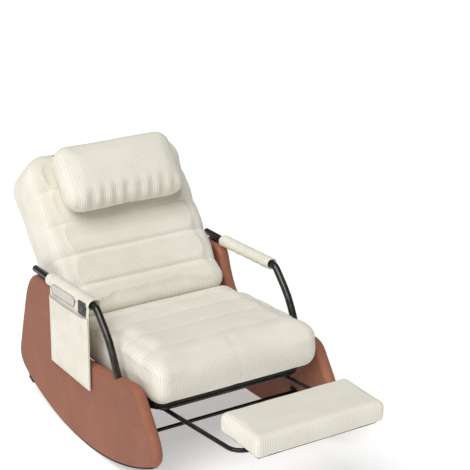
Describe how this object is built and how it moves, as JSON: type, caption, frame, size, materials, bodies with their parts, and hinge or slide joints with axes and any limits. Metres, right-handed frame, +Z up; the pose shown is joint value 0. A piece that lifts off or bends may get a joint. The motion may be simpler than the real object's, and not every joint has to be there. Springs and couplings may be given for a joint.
{
  "type": "rocking recliner armchair",
  "caption": "Rocking lounge chair with padded leather side panels, a reclining back, a head pillow and a footrest that slides out from under the seat and turns over.",
  "frame": {"origin": "on the floor, under the middle of the chair's whole depth with the footrest out, on the chair's plane of symmetry", "axes": "+Z up, -Y the way the sitter faces, -X the sitter's right, where the side pocket hangs"},
  "size_m": [0.7576, 1.5403, 0.899],
  "materials": {
    "leather": "satin, fine grain",
    "corduroy": "matt ribbed corduroy",
    "gunmetal_tube": "satin gunmetal",
    "black_steel": "satin black",
    "bright_steel": "zinc plated",
    "plywood": "raw",
    "rubber": "matt",
    "black_plastic": "matt",
    "black_cloth": "matt",
    "label_cloth": "woven"
  },
  "bodies": {
    "base": {"front_crossbar": "black_steel", "left_arm_end_plug": "black_plastic", "left_arm_saddle": "bright_steel", "left_arm_sleeve": "corduroy", "left_arm_tube": "gunmetal_tube", "left_front_crossbar_plate": "black_steel", "left_front_seat_bolt": "bright_steel", "left_front_seat_bracket": "black_steel", "left_rail_guide": "black_steel", "left_rear_crossbar_plate": "black_steel", "left_rear_seat_bolt": "bright_steel", "left_rear_seat_bracket": "black_steel", "left_recline_stud": "bright_steel", "left_rocker_strip": "rubber", "left_side_core_board": "plywood", "left_side_inner_pad": "leather", "left_side_outer_pad": "leather", "left_tip_stop": "rubber", "pocket_clip": "black_plastic", "pocket_label": "label_cloth", "rear_crossbar": "black_steel", "right_arm_end_plug": "black_plastic", "right_arm_saddle": "bright_steel", "right_arm_sleeve": "corduroy", "right_arm_tube": "gunmetal_tube", "right_front_crossbar_plate": "black_steel", "right_front_seat_bolt": "bright_steel", "right_front_seat_bracket": "black_steel", "right_rail_guide": "black_steel", "right_rear_crossbar_plate": "black_steel", "right_rear_seat_bolt": "bright_steel", "right_rear_seat_bracket": "black_steel", "right_recline_stud": "bright_steel", "right_rocker_strip": "rubber", "right_side_core_board": "plywood", "right_side_inner_pad": "leather", "right_side_outer_pad": "leather", "right_tip_stop": "rubber", "seat_board": "black_cloth", "seat_cushion": "corduroy", "seat_frame_rear_bar": "black_steel", "seat_frame_tube": "black_steel", "side_pocket": "corduroy"},
    "footrest_slider": {"footrest_frame": "black_steel", "left_rail_end_cap": "black_plastic", "right_rail_end_cap": "black_plastic"},
    "footrest": {"footrest_board": "black_cloth", "footrest_pad": "corduroy", "left_footrest_clip": "black_steel", "right_footrest_clip": "black_steel"},
    "back": {"back_board": "plywood", "back_cross_tube": "black_steel", "back_cushion": "corduroy", "back_frame_tube": "black_steel", "back_rear_cover": "corduroy", "left_back_knuckle": "black_steel", "right_back_knuckle": "black_steel"},
    "pillow": {"head_pillow": "corduroy", "pillow_flap": "corduroy"},
    "counterweight": {"pillow_weight": "black_cloth"}
  },
  "joints": [
    {"name": "footrest_slide", "type": "slide", "parent": "base", "child": "footrest_slider", "axis": [0, 0.9945, -0.1045], "range_m": [0, 0.39]},
    {"name": "footrest_flip", "type": "hinge", "parent": "footrest_slider", "child": "footrest", "pos_m": [0, -0.66, 0.284], "axis": [1, 0, 0], "range_deg": [0, 180]},
    {"name": "back_recline", "type": "hinge", "parent": "base", "child": "back", "pos_m": [0, 0.36, 0.304], "axis": [1, 0, 0], "range_deg": [-12, 25]},
    {"name": "pillow_height", "type": "slide", "parent": "back", "child": "pillow", "axis": [0, 0.6428, 0.766], "range_m": [-0.06, 0.03], "deforming": ["pillow_flap"]},
    {"name": "counterweight_height", "type": "slide", "parent": "back", "child": "counterweight", "axis": [0, 0.6428, 0.766], "range_m": [-0.03, 0.06]}
  ],
  "couplings": [
    {"joint": "footrest_flip", "follows": "footrest_slide", "rad_per_m": 8.055},
    {"joint": "counterweight_height", "follows": "pillow_height", "ratio": -1}
  ]
}
